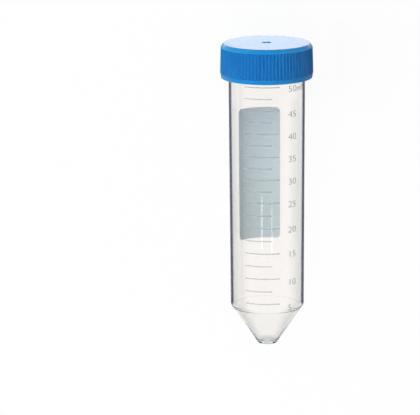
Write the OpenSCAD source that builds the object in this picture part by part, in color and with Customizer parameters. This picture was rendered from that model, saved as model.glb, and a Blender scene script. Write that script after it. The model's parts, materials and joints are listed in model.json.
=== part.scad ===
// Conical-bottom 50 ml laboratory tube with a screw cap, lying on its side.
// Millimetres, +Z up. The cap points to +Y and the printed scale faces up. The origin lies on the
// bench, under the middle of the whole length.
//
// Each piece is drawn first in the tube's own frame, with its tip at the origin, its axis along +Z
// and the scale on the -Y side. lying() then lays it down on the two rounds that it really rests on:
// the cap's ribs and the barrel's shoulder.

/* [Whole tube] */
// Length from the tip to the top of the closed cap
total_len = 115; // [90:0.5:150]
// Height of the cap
cap_h = 13; // [9:0.1:20]

/* [Barrel] */
// Outer diameter of the straight part just below the cap
barrel_d = 28.4; // [22:0.1:40]
// How much narrower the barrel is at its shoulder
barrel_draft = 0.8; // [0:0.05:2]
// Thickness of the barrel's wall
wall = 0.95; // [0.6:0.05:1.6]
// Length of the straight part that shows below the cap
collar_len = 6; // [4:0.5:12]
// Outer radius of the round between barrel and cone
shoulder_r = 2.5; // [1.2:0.1:5]

/* [Cone and tip] */
// Half of the cone's opening angle
cone_angle = 33.8; // [25:0.1:45]
// Thickness of the cone's wall
cone_wall = 1; // [0.7:0.05:1.8]
// Diameter of the flat end of the tip
tip_d = 7; // [4:0.1:10]
// Thickness of the floor inside the tip
tip_floor = 1.6; // [1:0.1:3]
// Radius of the tip's outer edge
tip_edge_r = 0.7; // [0.2:0.1:1.2]

/* [Neck] */
// Radius that the neck is set back from the barrel, under the cap
neck_step = 0.2; // [0.16:0.02:0.4]
// Radius that the sealing seat is wider than the bore
seat_step = 0.2; // [0.16:0.02:0.3]
// Depth of the sealing seat in the mouth
seat_depth = 3.6; // [2.5:0.1:6]
// Height of the screw thread that the neck carries
thread_h = 1.1; // [0.8:0.05:1.6]

/* [Cap] */
// Thickness of the cap's top
cap_top = 1.5; // [1:0.1:3]
// Thickness of the cap's skirt, over the ribs
cap_wall = 1.9; // [1.5:0.1:3]
// Gap between the thread's crest and the inside of the cap
thread_gap = 0.3; // [0.1:0.05:0.5]
// Air between the mouth of the tube and the inside of the cap's top
seat_gap = 0.05; // [0.02:0.01:0.2]
// How much narrower the skirt's radius is at its top
skirt_draft = 0.25; // [0:0.05:0.8]
// Width and height of the slanted edge round the top
top_edge = [1.05, 1.5]; // [0.5:0.05:2]
// Height of the plain band below the ribs
band_h = 1.8; // [1:0.1:3]
// How far the band leans in at the rim
band_lean = 0.25; // [0:0.05:0.6]

/* [Ribs] */
// Number of ribs round the cap
rib_count = 80; // [40:1:96]
// Depth of the grooves between the ribs
rib_depth = 0.3; // [0.15:0.05:0.5]
// Share of the pitch that a groove takes at the surface
groove_share = 0.55; // [0.3:0.05:0.6]
// How far the ribs stand out over the plain band
rib_proud = 0.12; // [0.06:0.02:0.2]

/* [Plug seal] */
// Length of the ring that plugs the mouth
plug_len = 2.8; // [1.5:0.1:5]
// Thickness of the ring
plug_wall = 1; // [0.6:0.1:2]
// Gap between the ring and the sealing seat
plug_gap = 0.05; // [0.02:0.01:0.1]

/* [Gate mark] */
// Diameter of the dimple in the middle of the cap's top
gate_d = 3.8; // [2:0.1:6]
// Depth of the dimple
gate_depth = 0.5; // [0.2:0.05:0.8]
// Diameter of the stub left in the dimple
stub_d = 1.4; // [0.8:0.1:1.8]

/* [Print] */
// Thickness of a printed film
film = 0.05; // [0.03:0.01:0.1]
// Gap between a film and the barrel
film_gap = 0.01; // [0.005:0.005:0.03]
// Height of the lowest line, for 5 ml, over the tip
first_line = 18.3; // [17:0.1:24]
// Step of 2.5 ml in the lower half, up to 25 ml
step_low = 4.83; // [4:0.01:6]
// Step of 2.5 ml in the upper half
step_high = 4.36; // [4:0.01:6]
// Number of lines from 5 ml to 50 ml
line_count = 19; // [9:1:19]
// Thickness of a line
line_w = 0.4; // [0.3:0.05:0.8]
// Where the lines start, in degrees from the front
line_from = -36.5; // [-60:0.5:-20]
// Where the long lines end
long_to = 18.8; // [10:0.1:30]
// Where the short lines end
short_to = 7; // [0:0.1:20]
// Length of the writing patch along the barrel
patch_len = 50.5; // [30:0.5:70]
// Edges of the writing patch, in degrees from the back
patch_span = [-52.1, 23]; // [-80:0.1:80]
// Distance from the patch to the cap's rim
patch_drop = 13.9; // [5:0.1:20]
// Radius of the patch's corners
patch_corner_r = 1.8; // [0.5:0.1:4]

/* [Hidden] */

steps = 6;           // straight steps in each rounded corner
round_fn = 120;      // true circles
soft = 0.3;          // small edge radius of the mouldings
over = 1;            // how far a cutting tool stands past what it cuts
over_turn = 2;       // the same for a tool that ends at an angle, in degrees
low_steps = 8;       // steps from the 5 ml line to the 25 ml line

// Heights along the axis
rim_s = total_len - cap_h;
ceiling_s = total_len - cap_top;
mouth_s = ceiling_s - seat_gap;
collar_s = rim_s - collar_len;
seat_s = mouth_s - seat_depth;
step_s = rim_s + soft;
band_s = rim_s + band_h;
edge_s = total_len - top_edge[1];

// Radii
barrel_r = barrel_d / 2;
low_r = barrel_r - barrel_draft / 2;
bore_r = barrel_r - wall;
seat_r = bore_r + seat_step;
neck_r = barrel_r - neck_step;
lip_soft = min(soft, (neck_r - seat_r) / 2.2);
tip_r = tip_d / 2;
cap_bore_r = neck_r + thread_h + thread_gap;
skirt_r = cap_bore_r + cap_wall;
skirt_top_r = skirt_r - skirt_draft;
disc_r = skirt_top_r - top_edge[0];
band_r = skirt_r - rib_proud;
rim_r = band_r - band_lean;
plug_r = seat_r - plug_gap;

// Cone: the outside meets the barrel at shoulder_s, the inside is set off by the cone's wall
cone_slope = tan(cone_angle);
shoulder_s = (low_r - tip_r) / cone_slope;
cone_set = cone_wall / cos(cone_angle);
inner_shoulder_s = shoulder_s + (cone_set - wall) / cone_slope;
inner_tip_r = tip_r + tip_floor * cone_slope - cone_set;

// Corners [radius, height, round] of the barrel that the print and the rest pose depend on
foot = [tip_r, 0, tip_edge_r];
shoulder = [low_r, shoulder_s, shoulder_r];
collar = [barrel_r, collar_s, 0];
band_edge = [band_r, band_s, 0];
rib_foot = [skirt_r, band_s + rib_proud, soft];
rib_head = [skirt_top_r, edge_s, soft];

function flat(p) = [p[0], p[1]];
function unit(v) = v / norm(v);
// Half of the angle between the two edges that meet at corner b
function half_angle(a, b, c) = acos(unit(flat(a) - flat(b)) * unit(flat(c) - flat(b))) / 2;
// Centre of the arc that rounds corner b
function round_centre(a, b, c) =
    let (bisector = unit(unit(flat(a) - flat(b)) + unit(flat(c) - flat(b))))
    flat(b) + bisector * b[2] / sin(half_angle(a, b, c));
// The arc itself, as short straight steps
function round_corner(a, b, c) =
    let (
        centre = round_centre(a, b, c),
        start = flat(b) + unit(flat(a) - flat(b)) * b[2] / tan(half_angle(a, b, c)) - centre,
        end = flat(b) + unit(flat(c) - flat(b)) * b[2] / tan(half_angle(a, b, c)) - centre,
        turn = sign(start[0] * end[1] - start[1] * end[0]) * (180 - 2 * half_angle(a, b, c))
    )
    [for (i = [0:steps])
        let (t = turn * i / steps)
        centre + [start[0] * cos(t) - start[1] * sin(t), start[0] * sin(t) + start[1] * cos(t)]];
// A closed outline from corners [x, y, round]
function outline(p) = [
    for (i = [0:len(p) - 1])
        let (a = p[(i + len(p) - 1) % len(p)], c = p[(i + 1) % len(p)])
        each (p[i][2] > 0 ? round_corner(a, p[i], c) : [flat(p[i])])
];

// Rest pose: the angle at which the ribs' feet and the shoulder touch the bench together
rib_round = round_centre(band_edge, rib_foot, rib_head);
shoulder_round = round_centre(foot, shoulder, collar);
stance = rib_round - shoulder_round;
lean = atan2(stance[0], stance[1]) + asin((soft - shoulder_r) / norm(stance));
rest_h = rib_round[0] * cos(lean) - rib_round[1] * sin(lean) + soft;
// Middle of the length on the bench, between the cap's lower edge and the tip's upper edge
mid_y = (total_len * cos(lean) + (disc_r - tip_r) * sin(lean)) / 2;

// Lays a piece down from the tube's own frame
module lying() {
    translate([0, -mid_y, rest_h])
        rotate([lean - 90, 0, 0])
            children();
}

// Outer radius of the barrel at height s
function barrel_at(s) =
    s > collar_s ? barrel_r : low_r + (barrel_r - low_r) * (s - shoulder_s) / (collar_s - shoulder_s);

// One moulding: solid tip, cone, slightly drafted barrel, straight collar and neck, open mouth
module tube() {
    color([0.86, 0.91, 0.95, 0.4])
        lying()
            rotate_extrude($fn = round_fn)
                polygon(outline([
                    [0, 0, 0],
                    foot,
                    shoulder,
                    collar,
                    [barrel_r, step_s, 0],
                    [neck_r, step_s + neck_step, 0],
                    [neck_r, mouth_s, lip_soft],
                    [seat_r, mouth_s, lip_soft],
                    [seat_r, seat_s, 0],
                    [bore_r, seat_s - seat_step, 0],
                    [bore_r, collar_s, 0],
                    [low_r - wall, inner_shoulder_s, shoulder_r - wall],
                    [inner_tip_r, tip_floor, tip_floor],
                    [0, tip_floor, 0]
                ]));
}

// Solid of revolution for the cap, before its grooves are cut
module cap_blank() {
    rotate_extrude($fn = round_fn)
        polygon(outline([
            [0, total_len - gate_depth / 4, 0],
            [stub_d / 2, total_len - gate_depth / 2, 0],
            [stub_d / 2, total_len - gate_depth, 0],
            [gate_d / 2 - gate_depth, total_len - gate_depth, 0],
            [gate_d / 2, total_len, 0],
            [disc_r, total_len, soft],
            rib_head,
            rib_foot,
            band_edge,
            [rim_r, rim_s, soft],
            [cap_bore_r, rim_s, soft],
            [cap_bore_r, ceiling_s, soft],
            [plug_r, ceiling_s, 0],
            [plug_r, ceiling_s - plug_len, soft],
            [plug_r - plug_wall, ceiling_s - plug_len, soft],
            [plug_r - plug_wall, ceiling_s, soft],
            [0, ceiling_s, 0]
        ]));
}

// Groove between two ribs: a blunt V that follows the skirt's draft. One groove faces the bench, so
// the cap lies on the two ribs beside it.
module groove() {
    run = edge_s - band_s;
    mouth = groove_share * PI / rib_count * skirt_r;
    root = mouth / 3;
    flare = (mouth - root) / rib_depth;
    translate([skirt_r, 0, band_s])
        rotate([0, -atan(skirt_draft / run), 0])
            linear_extrude(run)
                polygon([
                    [-rib_depth, -root],
                    [over, -mouth - flare * over],
                    [over, mouth + flare * over],
                    [-rib_depth, root]
                ]);
}

// One moulding: ribbed skirt, plain band at the rim, flat top with its gate mark, plug seal inside
module cap() {
    color("#1E73BB")
        lying()
            difference() {
                cap_blank();
                for (i = [0:rib_count - 1])
                    rotate(90 + i * 360 / rib_count)
                        groove();
            }
}

// Thin skin on the barrel between heights low and high and between two angles from the front
module skin(low, high, from, to) {
    rotate(from - 90)
        rotate_extrude(angle = to - from, $fn = round_fn)
            polygon([
                [barrel_at(low) + film_gap, low],
                [barrel_at(low) + film_gap + film, low],
                [barrel_at(high) + film_gap + film, high],
                [barrel_at(high) + film_gap, high]
            ]);
}

// Field to write on, printed on the back of the barrel, with rounded corners
module writing_patch() {
    high = rim_s - patch_drop;
    low = high - patch_len;
    from = patch_span[0];
    to = patch_span[1];
    left = barrel_r * sin(from);
    right = barrel_r * sin(to);
    color([0.66, 0.70, 0.73])
        lying()
            intersection() {
                rotate(180)
                    mirror([1, 0, 0])
                        skin(low, high, from - over_turn, to + over_turn);
                rotate([90, 0, 0])
                    translate([0, 0, -2 * barrel_r])
                        linear_extrude(2 * barrel_r)
                            polygon(outline([
                                [left, low, patch_corner_r],
                                [right, low, patch_corner_r],
                                [right, high, patch_corner_r],
                                [left, high, patch_corner_r]
                            ]));
            }
}

// Height of scale line i, counted from the 5 ml line
function line_s(i) = first_line + min(i, low_steps) * step_low + max(0, i - low_steps) * step_high;

// Printed scale: long lines for each 5 ml and short ones between, as far as the barrel shows
module scale_lines() {
    color([0.50, 0.52, 0.55])
        lying()
            for (i = [0:line_count - 1])
                if (line_s(i) + line_w < rim_s)
                    skin(line_s(i) - line_w / 2, line_s(i) + line_w / 2,
                        line_from, i % 2 == 0 ? long_to : short_to);
}

tube();
cap();
writing_patch();
scale_lines();
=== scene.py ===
# %% [markdown]
# # A 50 ml conical tube, lying on the bench
#
# The tube comes from model.glb and model.json with its true sizes, its mounts and one joint. Here it gets
# its looks. Everything is in metres and in the frame of the imported model: the cap points to +Y, the
# printed scale faces up, and the tube rests on the ribs of its cap and on its shoulder.
#
# Its nodes stay where they are, and each new piece rides on one of its two bodies, `tube` or `cap`, so
# that the cap can be drawn off without a change to this script.

# %% Load the frame
import json
import math

import bmesh
import bpy
from mathutils import Matrix, Vector


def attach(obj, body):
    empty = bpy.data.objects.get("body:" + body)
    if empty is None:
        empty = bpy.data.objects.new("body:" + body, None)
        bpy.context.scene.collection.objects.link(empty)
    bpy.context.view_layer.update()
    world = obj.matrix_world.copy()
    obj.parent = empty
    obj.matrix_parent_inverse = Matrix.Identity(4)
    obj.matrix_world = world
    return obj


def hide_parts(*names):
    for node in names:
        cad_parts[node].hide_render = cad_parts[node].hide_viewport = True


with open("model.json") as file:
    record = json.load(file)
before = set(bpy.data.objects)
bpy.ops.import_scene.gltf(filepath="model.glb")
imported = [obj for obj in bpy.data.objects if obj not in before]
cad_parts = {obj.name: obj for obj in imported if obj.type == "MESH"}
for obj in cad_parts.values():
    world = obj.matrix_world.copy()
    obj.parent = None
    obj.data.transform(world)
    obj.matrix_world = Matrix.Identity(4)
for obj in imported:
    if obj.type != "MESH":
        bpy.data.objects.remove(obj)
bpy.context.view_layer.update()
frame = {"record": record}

record = frame["record"]

# %% [markdown]
# ## Where the tube lies
#
# It is easiest to shape a round thing standing up, with its axis on Z. So each piece is drawn in the
# tube's own frame, with the tip at the origin and the scale on the -Y side, and is then laid down by
# one matrix. The record's mount `tip_cone` gives that matrix: its place is the tip, and its axis
# points out of the tip. One could also set the object's rotation, but a finished object here keeps
# its place in its mesh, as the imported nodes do.

# %% The matrix that lays a piece down
tip_mount = next(mount for mount in record["mounts"] if mount["name"] == "tip_cone")
along = -Vector(tip_mount["axis"])
right = Vector((1, 0, 0))
turned = Matrix((right, along.cross(right), along)).transposed()
lay = Matrix.Translation(Vector(tip_mount["pos_m"])) @ turned.to_4x4()
print("the axis climbs by", round(math.degrees(math.asin(along.z)), 2), "degrees towards the cap")

# %% [markdown]
# ## Sizes
#
# Lathe work needs few numbers: radii and heights along the axis. They are the sizes of the packed
# model, in metres. Heights are measured from the tip.

# %% Sizes of the tube and the cap


def mm(*values):
    """Millimetres to metres, for one value or several."""
    metres = [value / 1000 for value in values]
    return metres[0] if len(metres) == 1 else metres


total_len = mm(115)
rim_s, collar_s, ceiling_s = mm(102, 96, 113.5)
mouth_s, seat_s = mm(113.45, 109.85)
barrel_r, low_r, bore_r, neck_r, seat_r = mm(14.2, 13.8, 13.25, 14, 13.45)
wall, tip_r, tip_floor, shoulder_r = mm(0.95, 3.5, 1.6, 2.5)
shoulder_s, inner_shoulder_s, inner_tip_r = mm(15.386, 15.764, 3.368)
cap_bore_r, skirt_r, skirt_top_r, disc_r = mm(15.4, 17.3, 17.05, 16)
band_s, band_r, rim_r, edge_s = mm(103.8, 17.18, 16.93, 113.5)
plug_r, plug_wall, plug_len = mm(13.4, 1, 2.8)
gate_r, gate_depth, stub_r = mm(1.9, 0.5, 0.7)
patch_low, patch_high = mm(37.6, 88.1)
soft = mm(0.3)
thread_h, pitch = mm(1.1, 3.6)
film, film_gap = mm(0.05, 0.01)
print("cap", round(2000 * skirt_r, 1), "mm wide, barrel", round(2000 * barrel_r, 1), "mm")

# %% [markdown]
# ## Small tools
#
# Three helpers keep the rest short. `linear` turns a colour as a screen shows it, such as `#0E75BA`,
# into the linear values that Blender computes with. `add` makes a node of any kind, sets its
# properties and fills or links its inputs. `placed` puts a new object into the scene.

# %% Helpers for colours, nodes and objects


def linear(hex_colour):
    """A colour in sRGB hex as linear (r, g, b, 1)."""
    parts = [int(hex_colour[i : i + 2], 16) / 255 for i in (1, 3, 5)]
    return [p / 12.92 if p <= 0.04045 else ((p + 0.055) / 1.055) ** 2.4 for p in parts] + [1]


def add(tree, kind, inputs=(), **settings):
    """Adds a node, sets its properties, and fills its inputs with values, sockets or nodes."""
    node = tree.nodes.new(kind)
    for name, value in settings.items():
        setattr(node, name, value)
    for name, value in dict(inputs).items():
        if isinstance(value, bpy.types.Node):
            value = value.outputs[0]
        if isinstance(value, bpy.types.NodeSocket):
            tree.links.new(value, node.inputs[name])
        else:
            node.inputs[name].default_value = value
    return node


def placed(name, data):
    """A new object with this data, in the scene."""
    thing = bpy.data.objects.new(name, data)
    bpy.context.scene.collection.objects.link(thing)
    return thing


print("blue cap in linear light:", [round(v, 3) for v in linear("#0E75BA")])

# %% [markdown]
# ## Lathe work
#
# A moulding that was turned in its mould's steel is a profile spun round an axis. The profile is a
# list of corners, each with the radius of its round. Spin or the Screw modifier could do the turning,
# but they leave doubled points at the poles and at the seam. Here the rings are joined by hand, so
# that the skin is closed. Long straight runs get extra rings near their ends: smooth shading blends
# the normals along a face, and on a long face that would bend the reflections.

# %% Profiles
tiny = 1e-7


def rounded(corners, steps=8, guard=mm(0.25)):
    """The points of an open profile from corners (radius, height, round), ends included."""
    points = []
    for i, (x, y, radius) in enumerate(corners):
        here = Vector((x, y))
        if radius and 0 < i < len(corners) - 1:
            to_last = (Vector(corners[i - 1][:2]) - here).normalized()
            to_next = (Vector(corners[i + 1][:2]) - here).normalized()
            half = to_last.angle(to_next) / 2
            centre = here + (to_last + to_next).normalized() * radius / math.sin(half)
            start = here + to_last * radius / math.tan(half) - centre
            end = here + to_next * radius / math.tan(half) - centre
            turn = math.copysign(math.pi - 2 * half, start.cross(end))
            arc = [centre + Matrix.Rotation(turn * k / steps, 2) @ start for k in range(steps + 1)]
        else:
            arc = [here]
        if points:
            run = arc[0] - points[-1]
            if run.length > 3 * guard:
                step = run.normalized() * guard
                points += [points[-1] + step, arc[0] - step]
        points += arc
    return points


def rings_at(points, radius, spacing):
    """The same profile with more points where it runs straight up at this radius."""
    denser = [points[0]]
    for a, b in zip(points, points[1:]):
        if max(abs(a.x - radius), abs(b.x - radius)) < tiny:
            count = max(1, round((b - a).length / spacing))
            denser += [a.lerp(b, k / count) for k in range(1, count)]
        denser.append(b)
    return denser


sample = rounded([(0, 0, 0), (1, 0, 0.2), (1, 1, 0)])
print("a corner has", len(sample), "points, and with dense rings", len(rings_at(sample, 1, 0.1)))

# %% The lathe


def finished_object(name, mesh, sharp=35):
    """An object for this mesh, with its faces outward, smooth but for edges sharper than that."""
    work = bmesh.new()
    work.from_mesh(mesh)
    bmesh.ops.recalc_face_normals(work, faces=work.faces)
    work.to_mesh(mesh)
    work.free()
    mesh.shade_smooth()
    mesh.set_sharp_from_angle(angle=math.radians(sharp))
    return placed(name, mesh)


def lathe(name, points, angles):
    """A closed skin: the profile at each of these angles, with poles where it meets the axis."""
    rings, verts = [], []
    for p in points:
        start = len(verts)
        if p.x < tiny:
            verts.append((0, 0, p.y))
            rings.append([start])
        else:
            verts += [(p.x * math.cos(a), p.x * math.sin(a), p.y) for a in angles]
            rings.append(list(range(start, len(verts))))
    faces, count = [], len(angles)
    for a, b in zip(rings, rings[1:]):
        for k in range(count):
            n = (k + 1) % count
            corners = [a[k % len(a)], a[n % len(a)], b[n % len(b)], b[k % len(b)]]
            faces.append(list(dict.fromkeys(corners)))
    mesh = bpy.data.meshes.new(name)
    mesh.from_pydata(verts, [], [f for f in faces if len(f) > 2])
    return finished_object(name, mesh)


print("the lathe is ready")

# %% [markdown]
# ## Geometry Nodes helpers
#
# Ribs, threads and printed lines follow rules, so Geometry Nodes make them. A tree is built once with
# named inputs for its sizes. To use it, a modifier gets the tree and its inputs, the object is
# evaluated, and the result is kept as a plain mesh without the modifier.

# %% Building a tree


def new_tree(name, **inputs):
    """A geometry tree with a Geometry input and these number inputs. Returns it and its two ends."""
    tree = bpy.data.node_groups.new(name, "GeometryNodeTree")
    tree.interface.new_socket("Geometry", in_out="INPUT", socket_type="NodeSocketGeometry")
    for label, value in inputs.items():
        whole = isinstance(value, int)
        kind = "NodeSocketInt" if whole else "NodeSocketFloat"
        socket = tree.interface.new_socket(label, in_out="INPUT", socket_type=kind)
        socket.default_value = value
    tree.interface.new_socket("Material", in_out="INPUT", socket_type="NodeSocketMaterial")
    tree.interface.new_socket("Geometry", in_out="OUTPUT", socket_type="NodeSocketGeometry")
    return tree, add(tree, "NodeGroupInput"), add(tree, "NodeGroupOutput")


def end_tree(tree, given, result, geometry):
    """The tree's last steps: real geometry in place of instances, and the material."""
    real = add(tree, "GeometryNodeRealizeInstances", {"Geometry": geometry})
    done = add(tree, "GeometryNodeSetMaterial", {"Geometry": real, "Material": given.outputs["Material"]})
    tree.links.new(done.outputs[0], result.inputs["Geometry"])


print("ready to build trees")

# %% Using a tree


def grown(piece, tree, material, **inputs):
    """The piece with the tree's result as its plain mesh."""
    modifier = piece.modifiers.new(tree.name, "NODES")
    modifier.node_group = tree
    inputs["Material"] = material
    for item in tree.interface.items_tree:
        if item.in_out == "INPUT" and item.name in inputs:
            modifier[item.identifier] = inputs[item.name]
    bpy.context.view_layer.update()
    view = piece.evaluated_get(bpy.context.evaluated_depsgraph_get())
    mesh = bpy.data.meshes.new_from_object(view)
    piece.modifiers.remove(modifier)
    old, piece.data = piece.data, mesh
    bpy.data.meshes.remove(old)
    mesh.name = piece.name
    return piece


def laid(piece, body, slot, *nodes):
    """The standing piece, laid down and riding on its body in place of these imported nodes."""
    piece.data.transform(lay)
    piece.data.update()
    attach(piece, body)
    if nodes:
        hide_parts(*nodes)
    print(piece.name, "rides on", body, "with", len(piece.data.polygons), "faces")


print("ready to use trees")

# %% [markdown]
# ## Camera
#
# The tube is looked at from above, a little from the cap's side, so that the cap's round top shows as
# a narrow ellipse. So small a thing is best seen from far back through a long lens, which keeps the
# tube's sides nearly parallel. The camera is placed from the tube's middle.

# %% Place the camera
lens, sensor = 251.57, 36
clip_near, clip_far = 0.05, 20
distance, aside, above = mm(1100, 21.36, -5.08)
pitch_down, roll = math.radians(12.93), math.radians(-0.4)
middle_s = total_len / 2

# rows: the camera's right, down and forward, in the standing tube's frame
upright = Matrix(((1, 0, 0), (0, 0, -1), (0, 1, 0)))
looks = Matrix.Rotation(roll, 3, "Z") @ Matrix.Rotation(pitch_down, 3, "X") @ upright
offset = Vector((aside, above, distance))
standing = Matrix.Translation((0, 0, middle_s)) @ Matrix.Translation(-(looks.transposed() @ offset))
flip = Matrix.Diagonal((1, -1, -1, 1))
camera_data = bpy.data.cameras.new("camera")
camera_data.lens, camera_data.sensor_width = lens, sensor
camera_data.clip_start, camera_data.clip_end = clip_near, clip_far
camera = placed("camera", camera_data)
camera.matrix_world = lay @ standing @ looks.transposed().to_4x4() @ flip
bpy.context.scene.camera = camera
print("camera at", [round(v, 3) for v in camera.matrix_world.translation])

# %% [markdown]
# ## The studio
#
# Clear plastic shows what is behind it, so the studio comes before the tube. The floor is a wide pale
# sheet. Light Path tells it who is looking: the camera, a reflection and a ray that came through the
# plastic see mostly plain white, with a share of the really lit floor so that the shadow stays. All
# other light meets an ordinary matt floor. The world is the same white near the horizon, where the
# sheet would be swept up, and dims overhead like a room, which keeps reflections on the cap deep.

# %% Stage helpers


def white_for_viewers(tree, matt, white, share):
    """Matt for most light, and partly plain white for camera, mirror and see-through rays."""
    path = add(tree, "ShaderNodeLightPath")
    seen = path.outputs["Is Camera Ray"]
    for ray in ("Is Glossy Ray", "Is Transmission Ray"):
        seen = add(tree, "ShaderNodeMath", {0: seen, 1: path.outputs[ray]}, operation="MAXIMUM")
    weight = add(tree, "ShaderNodeMath", {0: seen, 1: share}, operation="MULTIPLY")
    return add(tree, "ShaderNodeMixShader", {0: weight, 1: matt, 2: white})


def new_material(name):
    """An empty node material and its output node."""
    material = bpy.data.materials.new(name)
    material.use_nodes = True
    material.node_tree.nodes.clear()
    return material, material.node_tree, add(material.node_tree, "ShaderNodeOutputMaterial")


def sheet(name, paper, corners):
    """A flat stage piece between four corners."""
    mesh = bpy.data.meshes.new(name)
    mesh.from_pydata(corners, [], [(0, 1, 2, 3)])
    mesh.materials.append(paper)
    piece = placed(name, mesh)
    return piece


print("ready to set the stage")

# %% The floor
white_share, floor_reach = 0.93, 4
floor_paper, tree, out = new_material("matt_studio_paper")
fibres = add(tree, "ShaderNodeTexNoise", {"Vector": add(tree, "ShaderNodeTexCoord").outputs["Object"],
                                          "Scale": 900, "Detail": 3})
paper = add(tree, "ShaderNodeMapRange", {"Value": fibres, "To Min": 0.78, "To Max": 0.82})
matt = add(tree, "ShaderNodeBsdfDiffuse", {"Color": paper.outputs["Result"]})
glow = add(tree, "ShaderNodeEmission", {"Color": (1, 1, 1, 1), "Strength": 1})
tree.links.new(white_for_viewers(tree, matt, glow, white_share).outputs[0], out.inputs["Surface"])
sheet("floor", floor_paper, [(x * floor_reach, y * floor_reach, 0)
                             for x, y in ((-1, -1), (1, -1), (1, 1), (-1, 1))])
print("floor:", 2 * floor_reach, "m wide")

# %% The world
overhead, room_light, room_colour = 0.85, 0.4, (0.93, 0.96, 1, 1)
world = bpy.data.worlds.new("studio")
world.use_nodes = True
tree = world.node_tree
tree.nodes.clear()
room = add(tree, "ShaderNodeBackground", {"Color": room_colour, "Strength": room_light})
toward = add(tree, "ShaderNodeSeparateXYZ", {0: add(tree, "ShaderNodeTexCoord").outputs["Generated"]})
dimming = add(tree, "ShaderNodeMapRange", {
    "Value": toward.outputs["Z"], "From Min": 0.2, "From Max": 0.6, "To Min": 1, "To Max": overhead})
backdrop = add(tree, "ShaderNodeBackground", {"Color": (1, 1, 1, 1), "Strength": dimming.outputs["Result"]})
sky = white_for_viewers(tree, room, backdrop, 1)
tree.links.new(sky.outputs[0], add(tree, "ShaderNodeOutputWorld").inputs["Surface"])
bpy.context.scene.world = world
bpy.context.scene.view_settings.view_transform = "Standard"
print("world:", world.name)

# %% [markdown]
# ### Cards
#
# A clear edge only shows if it has something dark to bend, so dark cards are laid beside glass when it
# is lit. Here two strips lie along the tube, two cards keep the cap's sides deep, and two paler ones
# draw the end of the cone. A tall card stands far out on the left. It fades upwards, so that its
# reflection on the wall has no hard end. A flag on the right only holds back light from the cap, and
# nothing mirrors it.
#
# Plain sheets would show through the tube as planks when it is seen from the side. So Light Path
# counts how a ray came here. The dark edge of a clear wall is made of rays that were mirrored inside
# it: they passed two surfaces, and were mirrored once between them. A ray that went straight through
# was never mirrored. Surfaces passed, less twice the times mirrored, is above zero for that ray alone,
# and to it the cards are clear. The camera and the lamps don't see any card at all.

# %% Cards beside the tube


def card_paper(name, deep, pale):
    """Speckled matt paper that fades out with height, and for rays that went straight through the tube."""
    material, tree, out = new_material(name)
    place = add(tree, "ShaderNodeTexCoord").outputs["Object"]
    grain = add(tree, "ShaderNodeTexNoise", {"Vector": place, "Scale": 700})
    grey = add(tree, "ShaderNodeMix", {0: grain, 6: linear(deep), 7: linear(pale)}, data_type="RGBA")
    matt = add(tree, "ShaderNodeBsdfDiffuse", {"Color": grey.outputs[2]})
    path = add(tree, "ShaderNodeLightPath").outputs
    balance = add(tree, "ShaderNodeMath", {0: path["Glossy Depth"], 1: -2, 2: path["Transmission Depth"]},
                  operation="MULTIPLY_ADD")
    behind = add(tree, "ShaderNodeMath", {0: balance, 1: 0.5}, operation="GREATER_THAN")
    height = add(tree, "ShaderNodeSeparateXYZ", {0: place}).outputs["Z"]
    faded = add(tree, "ShaderNodeMapRange", {"Value": height, "From Max": fade_height})
    unseen = add(tree, "ShaderNodeMath", {0: behind, 1: faded}, operation="MAXIMUM")
    clear = add(tree, "ShaderNodeBsdfTransparent")
    card = add(tree, "ShaderNodeMixShader", {0: unseen, 1: matt, 2: clear})
    tree.links.new(card.outputs[0], out.inputs["Surface"])
    return material


fade_height = mm(240)
dark_paper = card_paper("dark_grey_paper", "#5A6070", "#626878")
pale_paper = card_paper("pale_grey_card", "#A8B0B4", "#B0B8BC")
half, lift = total_len / 2, mm(0.02)
beside_barrel = mm(9) - half, half - mm(14)
beside_cap = half - mm(14), half + mm(4)
past_tip = -half - mm(30), -half - mm(2.5)
flat_cards = [
    ("left_strip", dark_paper, mm(-30, -16.5), beside_barrel),
    ("right_strip", dark_paper, mm(16.5, 30), beside_barrel),
    ("left_cap_card", dark_paper, mm(-300, -17.4), beside_cap),
    ("right_cap_card", dark_paper, mm(17.4, 90), beside_cap),
    ("left_tip_card", pale_paper, mm(-16, -4), past_tip),
    ("right_tip_card", pale_paper, mm(4, 16), past_tip),
]
upright_cards = [("left_card", mm(-300), mm(-150, 150), fade_height),
                 ("cap_flag", mm(26), mm(36, 64), mm(90))]
stood = [(name, paper, [(x0, y0, lift), (x1, y0, lift), (x1, y1, lift), (x0, y1, lift)])
         for name, paper, (x0, x1), (y0, y1) in flat_cards]
stood += [(name, dark_paper, [(x, y0, 0), (x, y1, 0), (x, y1, tall), (x, y0, tall)])
          for name, x, (y0, y1), tall in upright_cards]
for name, paper, corners in stood:
    card = sheet(name, paper, corners)
    only_holds_back = name == "cap_flag"
    card.visible_camera = card.visible_shadow = False
    card.visible_diffuse = only_holds_back
    card.visible_glossy = card.visible_transmission = not only_holds_back
print("cards:", [name for name, *_ in stood])

# %% [markdown]
# ## Lamps
#
# A large soft lamp high on the left gives the cap its shape. A weaker panel beyond the tip lights the
# rim's band, which leans that way, and one beyond the cap lights its slanted top edge. A clear wall
# would mirror these three as hard bands, so reflections don't see them. A small lamp is there only to
# be mirrored, as the thin bright streak down the barrel. The cap's flat top is seen at a shallow angle,
# where even satin plastic mirrors, and a lamp that lies on the bench beyond it gives it a pale sheen.

# %% Lamps


def softbox(name, place, target, size, power, colour=(1, 1, 1)):
    """A rectangular area lamp that looks at a point, its second side along the tube."""
    data = bpy.data.lights.new(name, "AREA")
    data.color = colour
    data.shape, data.size, data.size_y, data.energy = "RECTANGLE", *size, power
    back = (Vector(place) - Vector(target)).normalized()
    across = Vector((0, 1, 0)).cross(back).normalized()
    lamp = placed(name, data)
    lamp.rotation_euler = Matrix((across, back.cross(across), back)).transposed().to_euler()
    lamp.location = place
    return lamp


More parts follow.
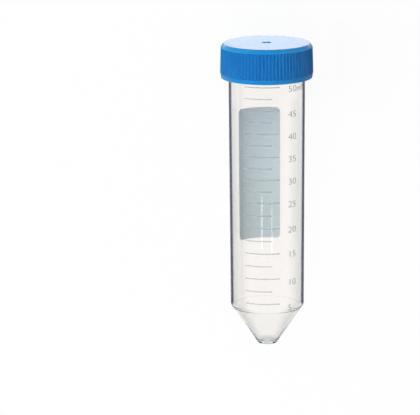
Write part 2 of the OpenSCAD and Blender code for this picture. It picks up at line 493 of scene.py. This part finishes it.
middle = Vector((0, 0, mm(14)))
left_lamp = softbox("left_lamp", (-0.36, -0.05, 0.7), middle, (1, 1), 3.2)
tip_panel = softbox("tip_panel", (-0.1, -0.5, 0.25), middle, (0.4, 0.3), 1.5)
cap_panel = softbox("cap_panel", (-0.1, 0.4, 0.55), middle, (0.4, 0.3), 1.8)
for lamp in (left_lamp, tip_panel, cap_panel):
    lamp.visible_glossy = lamp.visible_transmission = False
softbox("streak_lamp", (-0.28, -0.27, 0.9), middle, (0.07, 0.035), 0.03)
top_place = Vector((0, mm(78), mm(0.5)))
top_lamp = softbox("top_lamp", top_place, top_place + Vector((0, 0, 1)), mm(70, 40), 0.009, (0.97, 1, 0.91))
top_lamp.visible_camera = top_lamp.visible_transmission = False

# %% [markdown]
# ## Clear polypropylene
#
# Laboratory tubes are injection moulded in polypropylene, polished clear but a little milky, with faint
# flow lines along the axis. It is a glass for the shader, with the plastic's lower IOR. A Volume
# Absorption node gives the wall its cool tint where one looks along it. The milkiness could be a
# scattering volume, but in so thin a wall that renders slowly and with much noise. So the surface is
# tinted instead: a little everywhere, and in one more step at the solid end. Where Layer Weight finds
# the wall edge-on, the tint is painted grey, most towards the tip: painted shade that darkens the
# tube's edges. Real light passes through such a thin wall, but a path tracer finds no way for it
# through two bent surfaces, so Light Path swaps the glass for Transparent where light and shadow are
# worked out.

# %% Coordinates of the standing tube, for patterns


def standing_place(tree):
    """Object coordinates, turned back to the frame of the standing tube."""
    coordinates = add(tree, "ShaderNodeTexCoord").outputs["Object"]
    mapping = {"Vector": coordinates, "Location": lay.translation, "Rotation": lay.to_euler()}
    return add(tree, "ShaderNodeMapping", mapping, vector_type="TEXTURE")


print("patterns turn by", [round(math.degrees(angle), 1) for angle in lay.to_euler()], "degrees")

# %% The tint of clear polypropylene
tip_fade = mm(0.3)
clear_polypropylene, tree, out = new_material("clear_polypropylene")
place = standing_place(tree)
stretched = add(tree, "ShaderNodeVectorMath", {0: place, 1: (1, 1, 0.03)}, operation="MULTIPLY")
flow = add(tree, "ShaderNodeTexNoise", {"Vector": stretched, "Scale": 220, "Detail": 2})
polish = add(tree, "ShaderNodeMapRange", {"Value": flow, "To Min": 0.01, "To Max": 0.05})
tint = add(tree, "ShaderNodeMix", {0: flow, 6: linear("#FEFCFA"), 7: linear("#FFFDFB")}, data_type="RGBA")
upright = add(tree, "ShaderNodeSeparateXYZ", {0: place}).outputs["Z"]
solid = add(tree, "ShaderNodeMapRange", {
    "Value": upright, "From Min": tip_floor, "From Max": tip_floor + tip_fade, "To Min": 1, "To Max": 0})
tint = add(tree, "ShaderNodeMix", {0: solid.outputs["Result"], 6: tint.outputs[2], 7: linear("#E4E9E8")},
           data_type="RGBA")
# painted shade: where Layer Weight finds the wall edge-on the tint turns grey, most towards the tip, to
# darken the tube's edges
facing = add(tree, "ShaderNodeLayerWeight", {"Blend": 0.5}).outputs["Facing"]
edge_on = add(tree, "ShaderNodeMapRange", {"Value": facing, "From Min": 0.2, "From Max": 0.7})
edge_shade_towards_tip = add(tree, "ShaderNodeMapRange", {
    "Value": upright, "From Min": shoulder_s, "From Max": collar_s, "To Min": 1, "To Max": 0.5})
painted_edge_shade = add(tree, "ShaderNodeMath", {0: edge_on, 1: edge_shade_towards_tip}, operation="MULTIPLY")
# CCCCC9 is the grey of the painted edge shade
tint = add(tree, "ShaderNodeMix", {0: painted_edge_shade, 6: tint.outputs[2], 7: linear("#CCCCC9")}, data_type="RGBA")
print("tinted", clear_polypropylene.name)

# %% The glass of clear polypropylene
lines = add(tree, "ShaderNodeBump", {"Height": flow, "Strength": 0.03, "Distance": mm(0.1)})
glass = add(tree, "ShaderNodeBsdfPrincipled", {
    "Base Color": tint.outputs[2],
    "Roughness": polish,
    "IOR": 1.49,
    "Transmission Weight": 1,
    "Normal": lines,
})
passing = add(tree, "ShaderNodeBsdfTransparent", {"Color": linear("#F4F6F7")})
path = add(tree, "ShaderNodeLightPath")
swap = add(tree, "ShaderNodeMath", {0: path.outputs["Is Shadow Ray"], 1: path.outputs["Is Diffuse Ray"]},
           operation="MAXIMUM")
skin = add(tree, "ShaderNodeMixShader", {0: swap, 1: glass, 2: passing})
tree.links.new(skin.outputs[0], out.inputs["Surface"])
cool = add(tree, "ShaderNodeVolumeAbsorption", {"Color": linear("#BFCCD6"), "Density": 15})
tree.links.new(cool.outputs[0], out.inputs["Volume"])
print("made", clear_polypropylene.name)

# %% [markdown]
# ## Blue polyethylene
#
# The cap is moulded in polyethylene with its colour all through. Light goes a few millimetres into this
# plastic before it comes out again, which softens the ribs. Subsurface does that, with blue going the
# furthest. Less contrast could also be painted on, but that would be right under one lamp only. The
# rim's band and the slanted top edge are painted a paler blue: painted light, where the panels beyond
# the tip and beyond the cap fall on them. A colour ramp along the axis lays these two bands on. The
# skirt is satin from a finely textured mould. The flat top is smoother. Round the gate, where the
# plastic entered the mould, it is painted paler: partly the gate's real blush, partly a painted sheen
# that the dimple's slopes don't catch from the lamp beyond the cap.

# %% The colour of blue polyethylene
rim_painted_light, fade = 0.6, mm(0.3)
blue_polyethylene, tree, out = new_material("blue_polyethylene")
place = standing_place(tree)
drift = add(tree, "ShaderNodeTexNoise", {"Vector": place, "Scale": 90, "Detail": 2})
dye = add(tree, "ShaderNodeMix", {0: drift, 6: linear("#0A6DB0"), 7: linear("#0E75BA")}, data_type="RGBA")
upright = add(tree, "ShaderNodeSeparateXYZ", {0: place}).outputs["Z"]
# painted light: the rim's band and the slanted top edge are painted a paler blue where the lamps fall on
# them
edges = add(tree, "ShaderNodeValToRGB", {"Fac": add(tree, "ShaderNodeMapRange", {
    "Value": upright, "From Min": rim_s, "From Max": total_len})})
painted_light_bands = [(rim_s, rim_painted_light), (band_s - fade, rim_painted_light), (band_s, 0),
              (edge_s - fade, 0), (edge_s, 1), (total_len - fade, 1), (total_len - fade / 3, 0)]
for k, (height, pale) in enumerate(painted_light_bands):
    stop = edges.color_ramp.elements[k] if k < 2 else edges.color_ramp.elements.new(1)
    stop.position, stop.color = (height - rim_s) / (total_len - rim_s), (pale, pale, pale, 1)
# 1490C6 is the paler blue of that painted light
dye = add(tree, "ShaderNodeMix", {0: edges, 6: dye.outputs[2], 7: linear("#1490C6")}, data_type="RGBA")
# round the gate the blue is painted paler: partly the gate's real blush, partly a painted sheen that the
# dimple doesn't catch
across = add(tree, "ShaderNodeVectorMath", {0: place, 1: (1, 1, 0)}, operation="MULTIPLY")
reach = add(tree, "ShaderNodeVectorMath", {0: across}, operation="LENGTH").outputs["Value"]
within = add(tree, "ShaderNodeMapRange", {
    "Value": reach, "From Min": gate_r - fade, "From Max": gate_r, "To Min": 1, "To Max": 0})
on_top = add(tree, "ShaderNodeMath", {0: upright, 1: total_len - mm(0.8)}, operation="GREATER_THAN")
gate_blush_and_sheen = add(tree, "ShaderNodeMath", {0: within, 1: on_top}, operation="MULTIPLY")
dye = add(tree, "ShaderNodeMix", {0: gate_blush_and_sheen, 6: dye.outputs[2], 7: linear("#3A8CC2")}, data_type="RGBA")
print("coloured", blue_polyethylene.name)

# %% The finish of blue polyethylene
texture = add(tree, "ShaderNodeTexNoise", {"Vector": place, "Scale": 5000, "Detail": 2})
satin = add(tree, "ShaderNodeMapRange", {"Value": texture, "To Min": 0.34, "To Max": 0.46})
top = add(tree, "ShaderNodeMapRange", {
    "Value": upright, "From Min": edge_s + mm(0.7), "From Max": edge_s + mm(1), "To Min": 1, "To Max": 0.4})
finish = add(tree, "ShaderNodeMath", {0: satin, 1: top}, operation="MULTIPLY")
spark = add(tree, "ShaderNodeBump", {"Height": texture, "Strength": 0.15, "Distance": mm(0.02)})
plastic = add(tree, "ShaderNodeBsdfPrincipled", {
    "Base Color": dye.outputs[2],
    "Roughness": finish,
    "IOR": 1.51,
    "Specular IOR Level": 0.25,
    "Subsurface Weight": 0.9,
    "Subsurface Radius": (0.2, 0.6, 1),
    "Subsurface Scale": mm(3),
    "Normal": spark,
})
tree.links.new(plastic.outputs[0], out.inputs["Surface"])
print("made", blue_polyethylene.name)

# %% [markdown]
# ## Ink
#
# The print is screen-printed ink, baked on. It is matt and thin, and the mesh of the screen leaves it
# slightly uneven. The mesh of a real screen is about 0.1 mm fine; here the grain is 0.3 mm coarse,
# so that it shows. The three inks share one recipe. Thin ink lets some of what lies behind it through:
# Principled's Alpha says how much of it covers, all on the patch and least on the fine lines. The
# patch is painted a little bluer and paler at its top, near the cap: a painted reflection of the blue
# cap, so it is darker towards its foot.

# %% Inks


def screen_ink(name, low, high, cover, grain=mm(0.3)):
    """Matt ink with the grain of a printing screen, one colour at the patch's foot, one at its top, which
    on the patch paints the blue cap's reflection.
    """
    ink, tree, out = new_material(name)
    place = standing_place(tree)
    mesh = add(tree, "ShaderNodeTexNoise", {"Vector": place, "Scale": 1 / grain, "Detail": 3})
    upright = add(tree, "ShaderNodeSeparateXYZ", {0: place}).outputs["Z"]
    # on the patch the colour rises to a bluer, paler top: a painted reflection of the blue cap
    up = add(tree, "ShaderNodeMapRange", {"Value": upright, "From Min": patch_low, "From Max": patch_high})
    ink_and_painted_reflection = add(tree, "ShaderNodeMix", {0: up.outputs["Result"], 6: linear(low), 7: linear(high)},
                data_type="RGBA")
    uneven = add(tree, "ShaderNodeMapRange", {"Value": mesh, "To Min": 0.93, "To Max": 1.07})
    colour = add(tree, "ShaderNodeVectorMath", {0: ink_and_painted_reflection.outputs[2], "Scale": uneven}, operation="SCALE")
    matt = add(tree, "ShaderNodeMapRange", {"Value": mesh, "To Min": 0.55, "To Max": 0.7})
    relief = add(tree, "ShaderNodeBump", {"Height": mesh, "Strength": 0.1, "Distance": mm(0.01)})
    coat = add(tree, "ShaderNodeBsdfPrincipled", {
        "Base Color": colour, "Roughness": matt, "IOR": 1.5, "Alpha": cover, "Normal": relief})
    tree.links.new(coat.outputs[0], out.inputs["Surface"])
    print("made", name)
    return ink


# the patch's top colour #DAE7EE is a painted reflection of the blue cap
patch_ink = screen_ink("screen_printed_patch_ink", "#CCD9D9", "#DAE7EE", 1)
line_ink = screen_ink("screen_printed_line_ink", "#A6A9AC", "#A6A9AC", 0.38)
number_ink = screen_ink("screen_printed_number_ink", "#84878B", "#84878B", 0.8)

# %% [markdown]
# ## The tube
#
# One closed profile holds the outside, the lip, the sealing seat and the bore, so the skin has a
# wall of the true thickness. That matters for clear plastic, because its look comes from the
# light's way through the wall. A groove 0.08 mm deep runs round below the shoulder: the witness line
# of the joint in the mould, which shows as a thin ring. The neck gets dense rings, as the thread is
# raised out of them.

# %% Turn the tube
lip_soft = min(soft, (neck_r - seat_r) / 2.2)
neck_s = rim_s + soft + barrel_r - neck_r
corner, down = Vector((low_r, shoulder_s)), Vector((tip_r - low_r, -shoulder_s)).normalized()
inward = Vector((down.y, -down.x))
witness_shape = mm(1.12, 0), mm(0.97, 0.08), mm(0.82, 0)
witness = [corner + down * reach + inward * deep for reach, deep in witness_shape]
tube_profile = rounded([
    (0, 0, 0),
    (tip_r, 0, mm(0.7)),
    *[(*point, 0) for point in witness],
    (low_r, shoulder_s, shoulder_r),
    (barrel_r, collar_s, 0),
    (barrel_r, rim_s + soft, 0),
    (neck_r, neck_s, 0),
    (neck_r, mouth_s, lip_soft),
    (seat_r, mouth_s, lip_soft),
    (seat_r, seat_s, 0),
    (bore_r, seat_s - (seat_r - bore_r), 0),
    (bore_r, collar_s, 0),
    (low_r - wall, inner_shoulder_s, shoulder_r),
    (inner_tip_r, tip_floor, tip_floor),
    (0, tip_floor, 0),
])
round_trip, facets = 2 * math.pi, 192
tube_angles = [round_trip * k / facets for k in range(facets)]
tube = lathe("clear_tube", rings_at(tube_profile, neck_r, mm(0.15)), tube_angles)
print("tube profile of", len(tube_profile), "points")

# %% [markdown]
# ### The screw thread
#
# A thread is a ridge that climbs by its pitch with each turn. One could sweep a profile along a
# spiral and join it to the neck, but a join in clear plastic shows. So a Geometry Nodes tree pushes the
# neck's own points out. It asks of each point how far it is from the nearest turn of the spiral. The
# same tree, with a negative height, raises the cap's thread inwards.

# %% Steps shared by two trees


def from_the_axis(tree):
    """Each point's X, Y and Z, its way out from the axis, its radius and its angle."""
    place = add(tree, "GeometryNodeInputPosition")
    parts = add(tree, "ShaderNodeSeparateXYZ", {0: place}).outputs
    outward = add(tree, "ShaderNodeVectorMath", {0: place, 1: (1, 1, 0)}, operation="MULTIPLY")
    radius = add(tree, "ShaderNodeVectorMath", {0: outward}, operation="LENGTH").outputs["Value"]
    angle = add(tree, "ShaderNodeMath", {0: parts["Y"], 1: parts["X"]}, operation="ARCTAN2")
    return parts, outward, radius, angle


def pushed(tree, geometry, chosen, outward, reach):
    """The geometry with its chosen points moved away from the axis."""
    unit = add(tree, "ShaderNodeVectorMath", {0: outward}, operation="NORMALIZE")
    push = add(tree, "ShaderNodeVectorMath", {0: unit, "Scale": reach}, operation="SCALE")
    return add(tree, "GeometryNodeSetPosition", {"Geometry": geometry, "Selection": chosen, "Offset": push})


print("ready to push points")

# %% The thread's tree
thread_start, thread_turns, run_out = mm(104.9), 1.55, 0.12
crest_half, foot_half, cap_foot_half = mm(0.35, 0.85, 0.8)


def threading_tree():
    """Raises a thread out of the points at one radius. Heights run along Z."""
    sizes = {"Root radius": neck_r, "Start": thread_start, "Pitch": pitch, "Turns": thread_turns,
             "Height": thread_h, "Crest": crest_half, "Foot": foot_half, "Run-out": run_out}
    tree, given, result = new_tree("Raise a thread", **sizes)
    size = given.outputs
    parts, outward, radius, angle = from_the_axis(tree)

    # how many turns up the spiral this point's height is, and the whole turns and rest of that
    part_turn = add(tree, "ShaderNodeMath", {0: angle, 1: round_trip}, operation="DIVIDE")
    climb = add(tree, "ShaderNodeMath", {0: parts["Z"], 1: size["Start"]}, operation="SUBTRACT")
    climbed = add(tree, "ShaderNodeMath", {0: climb, 1: size["Pitch"]}, operation="DIVIDE")
    level = add(tree, "ShaderNodeMath", {0: climbed, 1: part_turn}, operation="SUBTRACT")
    whole = add(tree, "ShaderNodeMath", {0: level}, operation="ROUND")
    rest = add(tree, "ShaderNodeMath", {0: level, 1: whole}, operation="SUBTRACT")
    away = add(tree, "ShaderNodeMath", {0: rest}, operation="ABSOLUTE")
    distance = add(tree, "ShaderNodeMath", {0: away, 1: size["Pitch"]}, operation="MULTIPLY")
    ridge = add(tree, "ShaderNodeMapRange", {
        "Value": distance, "From Min": size["Crest"], "From Max": size["Foot"], "To Min": 1, "To Max": 0})

    # the ridge fades in and out at the thread's two ends
    along_it = add(tree, "ShaderNodeMath", {0: part_turn, 1: whole}, operation="ADD")
    to_end = add(tree, "ShaderNodeMath", {0: size["Turns"], 1: along_it}, operation="SUBTRACT")
    nearest = add(tree, "ShaderNodeMath", {0: along_it, 1: to_end}, operation="MINIMUM")
    fade = add(tree, "ShaderNodeMapRange", {"Value": nearest, "From Max": size["Run-out"]},
               interpolation_type="SMOOTHSTEP")
    full = add(tree, "ShaderNodeMath", {0: ridge, 1: fade}, operation="MULTIPLY")
    lift = add(tree, "ShaderNodeMath", {0: full, 1: size["Height"]}, operation="MULTIPLY")
    on_root = add(tree, "FunctionNodeCompare", {"A": radius, "B": size["Root radius"], "Epsilon": mm(0.05)},
                  operation="EQUAL")
    end_tree(tree, given, result, pushed(tree, size["Geometry"], on_root, outward, lift))
    return tree


raise_thread = threading_tree()
print(raise_thread.name, "has", len(raise_thread.nodes), "nodes")

# %% Raise the neck's thread and lay the tube down
grown(tube, raise_thread, clear_polypropylene)
laid(tube, "tube", "clear_pp", "tube")

# %% [markdown]
# ## The cap
#
# The cap is turned like the tube, with all its inside: the plug ring that seals the mouth, the bore
# round the thread and the gate's dimple on the top, where the plastic entered the mould. The angles of
# its points aren't even. They are set where a rib's flank starts and ends, eight to each rib, so that
# the next step can press crisp ribs with few faces.

# %% Turn the cap
rib_count, rib_depth = 80, mm(0.3)
root_share, mouth_share = 0.092, 0.275
rib_stops = (-0.3, -0.25, -0.115, -0.07, 0.07, 0.115, 0.25, 0.3)
bench_side = math.pi / 2
rib_pitch = round_trip / rib_count
cap_angles = [bench_side + (k + stop) * rib_pitch for k in range(rib_count) for stop in rib_stops]
cap_profile = rounded([
    (0, total_len - gate_depth / 4, 0),
    (stub_r, total_len - gate_depth / 2, 0),
    (stub_r, total_len - gate_depth, 0),
    (gate_r - gate_depth, total_len - gate_depth, 0),
    (gate_r, total_len, 0),
    (disc_r, total_len, soft),
    (skirt_top_r, edge_s, soft),
    (skirt_r, band_s + skirt_r - band_r, soft),
    (band_r, band_s, 0),
    (rim_r, rim_s, soft),
    (cap_bore_r, rim_s, soft),
    (cap_bore_r, ceiling_s, soft),
    (plug_r, ceiling_s, 0),
    (plug_r, ceiling_s - plug_len, soft),
    (plug_r - plug_wall, ceiling_s - plug_len, soft),
    (plug_r - plug_wall, ceiling_s, soft),
    (0, ceiling_s, 0),
], steps=5)
print("cap profile of", len(cap_profile), "points,", len(cap_angles), "angles")
cap = lathe("ribbed_cap", rings_at(cap_profile, cap_bore_r, mm(0.2)), cap_angles)

# %% [markdown]
# ### Grip ribs
#
# Eighty small ribs round the skirt give the fingers a grip. The gaps between them are what the mould's
# teeth leave, so the tree presses gaps into the skirt and leaves the ribs standing. It turns each
# point's angle into a place within its rib's pitch, reads the depth of the gap there, and sets the
# point's radius. Points that already lie deeper, such as those on the slanted foot, stay.

# %% The ribs' tree


def ribbing_tree():
    """Presses gaps between ribs into the points of a skirt that stands on Z."""
    sizes = {"Ribs": rib_count, "Bench side": bench_side, "Depth": rib_depth,
             "Root share": root_share, "Mouth share": mouth_share, "Low": band_s, "High": edge_s,
             "Low radius": skirt_r, "High radius": skirt_top_r}
    tree, given, result = new_tree("Press the ribs", **sizes)
    size = given.outputs
    parts, outward, radius, angle = from_the_axis(tree)

    # how far round from the middle of the nearest gap, as a share of the pitch
    turned = add(tree, "ShaderNodeMath", {0: angle, 1: size["Bench side"]}, operation="SUBTRACT")
    turns = add(tree, "ShaderNodeMath", {0: turned, 1: round_trip}, operation="DIVIDE")
    ribs = add(tree, "ShaderNodeMath", {0: turns, 1: size["Ribs"]}, operation="MULTIPLY")
    nearest = add(tree, "ShaderNodeMath", {0: ribs}, operation="ROUND")
    rest = add(tree, "ShaderNodeMath", {0: ribs, 1: nearest}, operation="SUBTRACT")
    share = add(tree, "ShaderNodeMath", {0: rest}, operation="ABSOLUTE")
    gap = add(tree, "ShaderNodeMapRange", {
        "Value": share, "From Min": size["Root share"], "From Max": size["Mouth share"],
        "To Min": 1, "To Max": 0})
    deep = add(tree, "ShaderNodeMath", {0: gap, 1: size["Depth"]}, operation="MULTIPLY")

    # the skirt's own radius at this height, less the gap, but never outside where the point is
    crest = add(tree, "ShaderNodeMapRange", {
        "Value": parts["Z"], "From Min": size["Low"], "From Max": size["High"],
        "To Min": size["Low radius"], "To Max": size["High radius"]})
    wanted = add(tree, "ShaderNodeMath", {0: crest, 1: deep}, operation="SUBTRACT")
    kept = add(tree, "ShaderNodeMath", {0: wanted, 1: radius}, operation="MINIMUM")
    change = add(tree, "ShaderNodeMath", {0: kept, 1: radius}, operation="SUBTRACT")

    # only the outside of the skirt, between the band and the slanted edge, and only in the gaps
    tests = [("GREATER_THAN", parts["Z"], size["Low"]), ("LESS_THAN", parts["Z"], size["High"]),
             ("GREATER_THAN", radius, cap_bore_r + mm(1)), ("GREATER_THAN", gap.outputs["Result"], 0.0)]
    chosen = None
    for operation, left, right_side in tests:
        test = add(tree, "FunctionNodeCompare", {"A": left, "B": right_side}, operation=operation)
        chosen = add(tree, "FunctionNodeBooleanMath", {0: chosen, 1: test}) if chosen else test
    end_tree(tree, given, result, pushed(tree, size["Geometry"], chosen, outward, change))
    return tree


press_ribs = ribbing_tree()
print(press_ribs.name, "has", len(press_ribs.nodes), "nodes")

# %% Press the ribs, raise the cap's thread and lay the cap down
grown(cap, press_ribs, blue_polyethylene)
grown(cap, raise_thread, blue_polyethylene, **{
    "Root radius": cap_bore_r, "Start": thread_start + pitch / 2,
    "Height": -thread_h, "Foot": cap_foot_half})
laid(cap, "cap", "blue_pe", "cap")

# %% [markdown]
# ## Print
#
# All print is drawn flat first, as on the maker's film: X runs round the tube, Z up its axis, and the
# ink's thickness lies along Y. One Geometry Nodes tree then wraps any flat piece round the barrel and
# follows its draft. That keeps the letters, the lines and the patch at one distance from the wall.

# %% The wrapping tree


def wrapping_tree():
    """Wraps a flat piece round the barrel. X becomes an arc, and -Y stands off the wall."""
    sizes = {"Barrel radius": barrel_r, "Low radius": low_r, "Low": shoulder_s, "High": collar_s,
             "Gap": film_gap}
    tree, given, result = new_tree("Wrap round the barrel", **sizes)
    size = given.outputs
    place = add(tree, "GeometryNodeInputPosition")
    parts = add(tree, "ShaderNodeSeparateXYZ", {0: place}).outputs
    angle = add(tree, "ShaderNodeMath", {0: parts["X"], 1: size["Barrel radius"]}, operation="DIVIDE")
    wall_at = add(tree, "ShaderNodeMapRange", {
        "Value": parts["Z"], "From Min": size["Low"], "From Max": size["High"],
        "To Min": size["Low radius"], "To Max": size["Barrel radius"]})
    off = add(tree, "ShaderNodeMath", {0: size["Gap"], 1: parts["Y"]}, operation="SUBTRACT")
    radius = add(tree, "ShaderNodeMath", {0: wall_at, 1: off}, operation="ADD")
    sine = add(tree, "ShaderNodeMath", {0: angle}, operation="SINE")
    cosine = add(tree, "ShaderNodeMath", {0: angle}, operation="COSINE")
    x = add(tree, "ShaderNodeMath", {0: sine, 1: radius}, operation="MULTIPLY")
    front = add(tree, "ShaderNodeMath", {0: cosine, 1: radius}, operation="MULTIPLY")
    y = add(tree, "ShaderNodeMath", {0: front, 1: -1}, operation="MULTIPLY")
    wrapped = add(tree, "ShaderNodeCombineXYZ", {0: x, 1: y, 2: parts["Z"]})
    moved = add(tree, "GeometryNodeSetPosition", {"Geometry": size["Geometry"], "Position": wrapped})
    end_tree(tree, given, result, moved)
    return tree


wrap_round = wrapping_tree()
print(wrap_round.name, "has", len(wrap_round.nodes), "nodes")

# %% [markdown]
# ### The writing patch
#
# The patch is a field to write on, printed on the tube's back, so it is seen from inside through both
# walls. It is one thin slab with rounded corners. It is drawn as columns, each with its own upper and
# lower end, because narrow columns are what lets it bend round the barrel.

# %% Draw and wrap the patch
patch_round, round_steps, strips = mm(1.8), 8, 20
patch_left, patch_right = (math.pi - math.radians(angle) for angle in (23, -52.1))


def slab(name, columns, thickness):
    """A flat closed slab from columns (x, low, high), its front at y = -thickness."""
    verts, faces = [], []
    for x, low, high in columns:
        verts += [(x, 0, low), (x, 0, high), (x, -thickness, high), (x, -thickness, low)]
    for k in range(0, len(verts) - 4, 4):
        faces += [(k + i, k + (i + 1) % 4, k + 4 + (i + 1) % 4, k + 4 + i) for i in range(4)]
    faces += [(0, 1, 2, 3), tuple(range(len(verts) - 4, len(verts)))]
    mesh = bpy.data.meshes.new(name)
    mesh.from_pydata(verts, [], faces)
    return finished_object(name, mesh)


columns = []
left_edge, right_edge = patch_left * barrel_r, patch_right * barrel_r
for k in range(round_steps + 1):
    t = round_trip / 4 * k / round_steps
    drop = patch_round * (1 - math.sin(t))
    columns.append((left_edge + patch_round * (1 - math.cos(t)), patch_low + drop, patch_high - drop))
strip = (right_edge - left_edge - 2 * patch_round) / strips
columns += [(left_edge + patch_round + strip * k, patch_low, patch_high) for k in range(1, strips)]
mirrored = reversed(columns[: round_steps + 1])
columns += [(left_edge + right_edge - x, low, high) for x, low, high in mirrored]
patch = slab("writing_patch_print", columns, film)
grown(patch, wrap_round, patch_ink)
laid(patch, "tube", "grey_ink", "writing_patch")

# %% [markdown]
# ### The scale's lines
#
# The scale has a line for each 2.5 ml, nineteen in all. Up to 25 ml they stand a little further apart
# than above, because the barrel narrows downwards. Each fifth millilitre has a long line. A tree
# places one thin block on a point per line, and stretches it to its length.

# %% The tree for the lines
line_count, wide_steps, line_columns = 19, 8, 25
first_line, wide_step, close_step, line_width = mm(18.3, 4.83, 4.36, 0.4)
line_from, long_to, short_to = (math.radians(angle) * barrel_r for angle in (-36.5, 18.8, 7))


def scale_tree():
    """A block for each line of the scale, long and short in turn, flat as wrapping wants it."""
    sizes = {"Lines": line_count, "Wide steps": wide_steps, "First": first_line,
             "Wide step": wide_step, "Close step": close_step, "From": line_from,
             "Long to": long_to, "Short to": short_to, "Width": line_width, "Thickness": film}
    tree, given, result = new_tree("Rule the scale", **sizes)
    size = given.outputs
    number = add(tree, "GeometryNodeInputIndex")
    wide = add(tree, "ShaderNodeMath", {0: number, 1: size["Wide steps"]}, operation="MINIMUM")
    close = add(tree, "ShaderNodeMath", {0: number, 1: wide}, operation="SUBTRACT")
    lower = add(tree, "ShaderNodeMath", {0: wide, 1: size["Wide step"], 2: size["First"]},
                operation="MULTIPLY_ADD")
    height = add(tree, "ShaderNodeMath", {0: close, 1: size["Close step"], 2: lower},
                 operation="MULTIPLY_ADD")
    odd = add(tree, "ShaderNodeMath", {0: number, 1: 2}, operation="MODULO")
    end = add(tree, "ShaderNodeMapRange", {
        "Value": odd, "To Min": size["Long to"], "To Max": size["Short to"]})
    length = add(tree, "ShaderNodeMath", {0: end, 1: size["From"]}, operation="SUBTRACT")
    both = add(tree, "ShaderNodeMath", {0: end, 1: size["From"]}, operation="ADD")
    middle_x = add(tree, "ShaderNodeMath", {0: both, 1: 0.5}, operation="MULTIPLY")
    middle_y = add(tree, "ShaderNodeMath", {0: size["Thickness"], 1: -0.5}, operation="MULTIPLY")
    spot = add(tree, "ShaderNodeCombineXYZ", {0: middle_x, 1: middle_y, 2: height})
    points = add(tree, "GeometryNodePoints", {"Count": size["Lines"], "Position": spot})
    block = add(tree, "GeometryNodeMeshCube", {"Size": (1, 1, 1), "Vertices X": line_columns})
    stretch = add(tree, "ShaderNodeCombineXYZ", {0: length, 1: size["Thickness"], 2: size["Width"]})
    lines = add(tree, "GeometryNodeInstanceOnPoints", {
        "Points": points, "Instance": block, "Scale": stretch})
    end_tree(tree, given, result, lines)
    return tree


rule_scale = scale_tree()
print(rule_scale.name, "has", len(rule_scale.nodes), "nodes")

# %% Rule and wrap the lines
lines = finished_object("scale_lines_print", bpy.data.meshes.new("scale_lines_print"))
grown(lines, rule_scale, line_ink)
grown(lines, wrap_round, line_ink)
laid(lines, "tube", "dark_ink", "scale_lines")

# %% [markdown]
# ### The scale's numbers
#
# Plain numbers stand to the right of the long lines. Each is a text object with a little thickness,
# turned into a mesh. A straight stroke is one long face, which would cut through the barrel when
# wrapped. So the mesh is first sliced into narrow upright strips.

# %% Draw and wrap the numbers
digit_height, numbers_at, slice_width = mm(2.4, 8.05, 0.4)
font_height, broader, stroke_less, slices = 0.7, 1.22, mm(0.06), 24
numbers = {18: "50ml", 16: "45", 14: "40", 12: "35", 10: "30", 8: "25", 6: "20", 4: "15", 2: "10", 0: "5"}
drops = mm(0.9, 1.7, 1.4, 1.15, 0.95, 0.84, 0.88, 0.6, 1.75, 1.87)


def line_height(i):
    """Height of scale line i over the tip."""
    return first_line + min(i, wide_steps) * wide_step + max(0, i - wide_steps) * close_step


def flat_text(words, height):
    """The text's mesh, upright on the X-Z plane, as thick as the ink."""
    curve = bpy.data.curves.new("words", "FONT")
    curve.body, curve.size, curve.extrude = words, height / font_height, film / 2
    curve.resolution_u, curve.offset = 3, -stroke_less
    text = placed("words", curve)
    bpy.context.view_layer.update()
    mesh = bpy.data.meshes.new_from_object(text.evaluated_get(bpy.context.evaluated_depsgraph_get()))
    bpy.data.objects.remove(text)
    mesh.transform(Matrix(((1, 0, 0, 0), (0, 0, -1, -film / 2), (0, 1, 0, 0), (0, 0, 0, 1))))
    return mesh


work = bmesh.new()
for (line, words), drop in zip(numbers.items(), drops):
    mesh = flat_text(words, digit_height)
    place = Matrix.Translation((numbers_at, 0, line_height(line) - drop - digit_height / 2))
    mesh.transform(place @ Matrix.Diagonal((broader, 1, 1, 1)))
    work.from_mesh(mesh)
    bpy.data.meshes.remove(mesh)
bmesh.ops.remove_doubles(work, verts=work.verts, dist=tiny)
for k in range(1, slices):
    whole = work.verts[:] + work.edges[:] + work.faces[:]
    bmesh.ops.bisect_plane(work, geom=whole, plane_co=(numbers_at + k * slice_width, 0, 0),
                           plane_no=(1, 0, 0), dist=tiny)
mesh = bpy.data.meshes.new("scale_numbers_print")
work.to_mesh(mesh)
work.free()
numbers_print = finished_object("scale_numbers_print", mesh)
grown(numbers_print, wrap_round, number_ink)
laid(numbers_print, "tube", "dark_ink")
